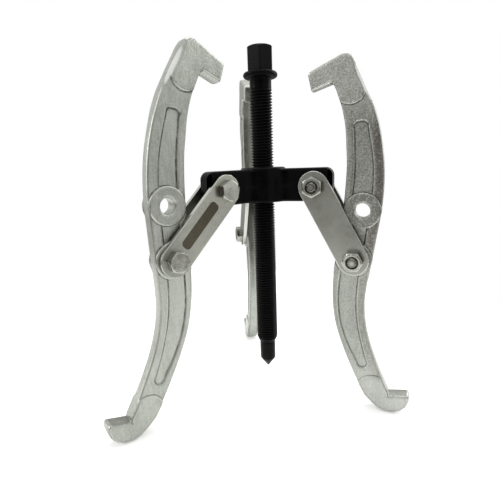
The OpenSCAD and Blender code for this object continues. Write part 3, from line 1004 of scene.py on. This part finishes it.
def yoke_material(name):
    n = Nodes(name)
    crest = n.attr("crest")
    peel = n.noise(260, 3, 0.5)
    cast = n.noise(70, 4, 0.55, (1, 1, 1), (0.3, 0, 0))
    grain = n.noise(1500, 3, 0.6)
    f = n.math("ADD", n.math("MULTIPLY", cast, 0.6), n.math("MULTIPLY", grain, 0.4))
    col = n.mix(n.ramp(f, 0.34, 0.66), (0.0007, 0.0008, 0.0008), (0.0016, 0.0018, 0.0018))
    col = n.mix(n.ramp(crest, 0.64, 0.9, 0, 0.35), col, (0.026, 0.027, 0.026))
    rough = n.ramp(f, 0.3, 0.7, 0.20, 0.36)
    nb = n.bump(cast, 0.0007, 0.35)
    nb = n.bump(n.math("ADD", peel, n.math("MULTIPLY", grain, 0.2)), 0.00018, 0.5, nb)
    return n.finish(col, rough, 0.0, nb, Specular_IOR_Level=0.06)


def sleeve_material(name, shift):
    n = Nodes(name, own=False)
    turned = n.noise(1200, 2, 0.5, (1, 1, 1), shift)
    broad = n.noise(220, 4, 0.6, (1, 1, 1), shift)
    col = n.mix(n.ramp(n.math("ADD", n.math("MULTIPLY", broad, 0.6), n.math("MULTIPLY", turned, 0.4)), 0.34, 0.66),
                (0.22, 0.22, 0.21), (0.42, 0.42, 0.40))
    return n.finish(col, n.ramp(turned, 0.3, 0.7, 0.26, 0.40), 1.0, n.bump(turned, 0.00004, 0.6))


# ---------------------------------------------------------------- build

LINK_BAR = (-3.2, 12.3, 5.9, 57.5, 3.4)

base_jaw = jaw_mesh()
measure(base_jaw, 1)
yoke_me = yoke_mesh()
measure(yoke_me, 1)
base_bolt, base_nut = bolt_mesh(), nut_mesh()
base_link = link_mesh()

piece("yoke_forged", yoke_me, "yoke", ["yoke"], None, yoke_material("black_enamel"))

spindle_me = spindle_mesh()
measure(spindle_me, 0)
piece("spindle_turned", spindle_me, "spindle", ["spindle"], None, black_steel_material("black_oxide"))
piece("centre_point_turned", point_mesh(), "centre_point", ["centre_point"], None, point_material("point_steel_turned"))

def along_pin(m):
    """Frame whose z runs along the pivot axis towards the bolt head and x stays outward."""
    return m @ Matrix(((1, 0, 0, 0), (0, 0, 1, 0), (0, -1, 0, 0), (0, 0, 0, 1)))


for i, k in enumerate(ARMS):
    s = (0.37 * i, 0.21 * i, 0.13 * i)
    a = arm[k]
    jaw = base_jaw.copy()
    jaw.name = "jaw_forging_" + k
    # jaw b faces away from the light: its copy gets a darker light_tone as painted shade, painted shade on its falling
    # rim and a painted highlight at its ends
    piece(f"jaw_{k}_forged", jaw, "jaw_" + k, ["jaw_" + k], a["jaw"],
          jaw_material("zinc_forging_" + k, s, 0.88 if k == "b" else 1.0, 0.6 if k == "b" else 0.25,
                       0.28 if k == "b" else 0.12, 0.8 if k == "b" else 0.0,
                       0.00034 if k == "b" else 0.00026, 0.46 if k == "b" else 0.12,
                       0.16 if k == "b" else 0.0))
    for side, sgn in (("head_side", 1), ("nut_side", -1)):
        me = base_link.copy()
        me.name = f"link_plate_{k}_{side}"
        off = Matrix.Translation(Vector((0, LINK_IN * MM, 0)))
        turn = Matrix.Identity(4)
        if sgn < 0:
            turn = Matrix.Translation((0, 0, LINK_C * MM)) @ Matrix.Rotation(math.pi, 4, "X")
        m = a["link"] @ turn @ off
        bar = LINK_BAR if (k == "a" and sgn > 0) else None
        # painted shade: plates that face away from the light get darker copies of one material
        light_tone = {("a", 1): 1.0, ("b", -1): 0.8}.get((k, sgn), 0.9)
        piece(f"link_{k}_{side}_plate", me, "links_" + k, [f"link_{k}_{side}"], m,
              plate_material(f"zinc_plate_{k}_{side}", (s[0] + 0.05 * sgn, s[1], s[2]), light_tone, bar,
                             0.02 if k == "a" else 0.0))
    for end, m in (("yoke", a["post"]), ("jaw", a["link"])):
        bolt = base_bolt.copy()
        nut = base_nut.copy()
        bolt.name, nut.name = f"bolt_{end}_{k}", f"nut_{end}_{k}"
        ss = (s[0] + (0.11 if end == "yoke" else 0.0), s[1] + 0.07, s[2])
        piece(f"{end}_bolt_{k}_hex", bolt, "links_" + k, [f"{end}_bolt_{k}"], along_pin(m),
              fastener_material(f"zinc_bolt_{end}_{k}", ss, True))
        piece(f"{end}_nut_{k}_hex", nut, "links_" + k, [f"{end}_nut_{k}"], along_pin(m),
              fastener_material(f"zinc_nut_{end}_{k}", (ss[0] + 0.5, ss[1], ss[2])))
        node = frame["nodes"][f"{end}_sleeve_{k}"]
        node.data.materials.clear()
        node.data.materials.append(sleeve_material(f"sleeve_{end}_{k}_steel", ss))

# ---------------------------------------------------------------- camera

cam_data = bpy.data.cameras.new("camera")
cam_data.sensor_width = 36.0
cam_data.lens = 28.091
cam_data.clip_start = 0.01
cam_data.clip_end = 50
cam = bpy.data.objects.new("camera", cam_data)
right, upv, fwd = Vector((0.98727, -0.15496, -0.03593)), Vector((0.06891, 0.21305, 0.97461)), Vector((0.14337, 0.96467, -0.22102))
right, upv, fwd = right + fwd * 0.0008, upv + fwd * 0.0009, fwd - right * 0.0008 - upv * 0.0009
fwd.normalize()
right = (right - fwd * right.dot(fwd)).normalized()
upv = right.cross(fwd)
cam.matrix_world = Matrix(((right.x, upv.x, -fwd.x, -0.06768), (right.y, upv.y, -fwd.y, -0.35879),
                           (right.z, upv.z, -fwd.z, 0.20441), (0, 0, 0, 1)))
scene.collection.objects.link(cam)
scene.camera = cam

# ---------------------------------------------------------------- floor and light

# the three feet stand on the floor, which is why the tool leans a little in its own frame
bpy.context.view_layer.update()
feet = []
for k in ARMS:
    ob = bpy.data.objects[f"jaw_{k}_forged"]
    co = np.zeros(len(ob.data.vertices) * 3, np.float32)
    ob.data.vertices.foreach_get("co", co)
    w = np.array(ob.matrix_world)
    feet.append(co.reshape(-1, 3) @ w[:3, :3].T + w[:3, 3])
up_dir = np.array([0.0, 0.0, 1.0])
for _ in range(6):
    pts = [f[np.argmin(f @ up_dir)] for f in feet]
    nn = np.cross(pts[1] - pts[0], pts[2] - pts[0])
    nn /= np.linalg.norm(nn)
    up_dir = nn if nn[2] > 0 else -nn
low = min(float((f @ up_dir).min()) for f in feet)
fz = Vector(up_dir)
fx = Vector((1, 0, 0)) - fz * fz.x
fx.normalize()
fy = fz.cross(fx)
centre = fz * (low - 0.0004)
floor_m = Matrix(((fx.x, fy.x, fz.x, centre.x), (fx.y, fy.y, fz.y, centre.y), (fx.z, fy.z, fz.z, centre.z), (0, 0, 0, 1)))
bm = bmesh.new()
bmesh.ops.create_circle(bm, cap_ends=True, segments=128, radius=0.50)
floor_me = bpy.data.meshes.new("floor")
bm.to_mesh(floor_me)
bm.free()
floor = bpy.data.objects.new("floor", floor_me)
floor.matrix_world = floor_m
scene.collection.objects.link(floor)
nf = Nodes("pale_floor", own=False)
nf.bsdf.inputs["Emission Color"].default_value = (1, 1, 1, 1)
nf.bsdf.inputs["Emission Strength"].default_value = 0.28
floor_me.materials.append(nf.finish(nf.mix(nf.noise(3, 2), (0.86, 0.86, 0.855), (0.90, 0.90, 0.895)), 0.8, 0.0))


ROOM_DIM, ROOM_LIT = 0.10, 0.92


def softbox(name, at, look, size, power, color=(1, 1, 1)):
    d = bpy.data.lights.new(name, "AREA")
    d.shape = "RECTANGLE"
    d.size, d.size_y = size
    d.energy = power
    d.color = color
    ob = bpy.data.objects.new(name, d)
    p, t = Vector(at), Vector(look)
    ob.location = p
    ob.rotation_euler = (t - p).to_track_quat("-Z", "Y").to_euler()
    scene.collection.objects.link(ob)
    return ob


softbox("soft_right", (1.3, 0.3, 0.8), (0, 0, 0.12), (1.0, 1.2), 9)
softbox("soft_top", (0.15, 0.25, 1.5), (0, 0, 0.1), (1.2, 1.2), 9)
softbox("soft_left", (-1.3, -0.05, 0.7), (0, 0, 0.12), (0.5, 0.9), 6)

# the room seen in reflections: a white tent, open and dim brown towards the front
world = bpy.data.worlds.new("studio")
scene.world = world
world.use_nodes = True
wt = world.node_tree
wt.nodes.clear()
w_out = wt.nodes.new("ShaderNodeOutputWorld")
w_tex = wt.nodes.new("ShaderNodeTexCoord")


def w_ramp(value, a, b, lo, hi):
    m = wt.nodes.new("ShaderNodeMapRange")
    m.interpolation_type = "SMOOTHSTEP"
    for key, x in (("From Min", a), ("From Max", b), ("To Min", lo), ("To Max", hi)):
        m.inputs[key].default_value = x
    wt.links.new(value, m.inputs["Value"])
    return m.outputs[0]


def w_toward(direction):
    d = wt.nodes.new("ShaderNodeVectorMath")
    d.operation = "DOT_PRODUCT"
    d.inputs[1].default_value = Vector(direction).normalized()
    wt.links.new(w_tex.outputs["Generated"], d.inputs[0])
    return d.outputs["Value"]


def w_math(op, a, b):
    m = wt.nodes.new("ShaderNodeMath")
    m.operation = op
    for sock, x in zip(m.inputs, (a, b)):
        if isinstance(x, bpy.types.NodeSocket):
            wt.links.new(x, sock)
        else:
            sock.default_value = x
    return m.outputs[0]


w_sep = wt.nodes.new("ShaderNodeSeparateXYZ")
wt.links.new(w_tex.outputs["Generated"], w_sep.inputs[0])
front = w_ramp(w_toward((-0.14, -1.0, -0.06)), 0.975, 0.86, 0.0, 1.0)
left_dim = w_ramp(w_toward((-0.60, -0.80, -0.10)), 0.80, 0.96, 0.0, 1.0)
low_only = w_ramp(w_sep.outputs[2], 0.20, -0.02, 0.0, 0.52)
left = w_math("SUBTRACT", 1.0, w_math("MULTIPLY", left_dim, low_only))
behind = w_ramp(w_toward((0.14, 0.96, -0.1)), 0.70, 0.96, 1.0, 0.40)
below = w_ramp(w_sep.outputs[2], -0.02, -0.18, 1.0, 0.60)
w_level = w_math("MULTIPLY", w_math("MULTIPLY", front, left), w_math("MULTIPLY", behind, below))
w_col = wt.nodes.new("ShaderNodeMix")
w_col.data_type = "RGBA"
w_col.inputs[6].default_value = (*(ROOM_DIM * c for c in (1.3, 0.97, 0.88)), 1)
w_col.inputs[7].default_value = (*(ROOM_LIT * c for c in (1.0, 1.0, 0.985)), 1)
w_room = wt.nodes.new("ShaderNodeBackground")
w_view = wt.nodes.new("ShaderNodeBackground")
w_view.inputs["Color"].default_value = (1, 1, 1, 1)
w_view.inputs["Strength"].default_value = 1.0
w_path = wt.nodes.new("ShaderNodeLightPath")
w_mix = wt.nodes.new("ShaderNodeMixShader")
wt.links.new(w_level, w_col.inputs[0])
wt.links.new(w_col.outputs[2], w_room.inputs["Color"])
wt.links.new(w_path.outputs["Is Camera Ray"], w_mix.inputs[0])
wt.links.new(w_room.outputs[0], w_mix.inputs[1])
wt.links.new(w_view.outputs[0], w_mix.inputs[2])
wt.links.new(w_mix.outputs[0], w_out.inputs["Surface"])
scene.view_settings.view_transform = "Standard"
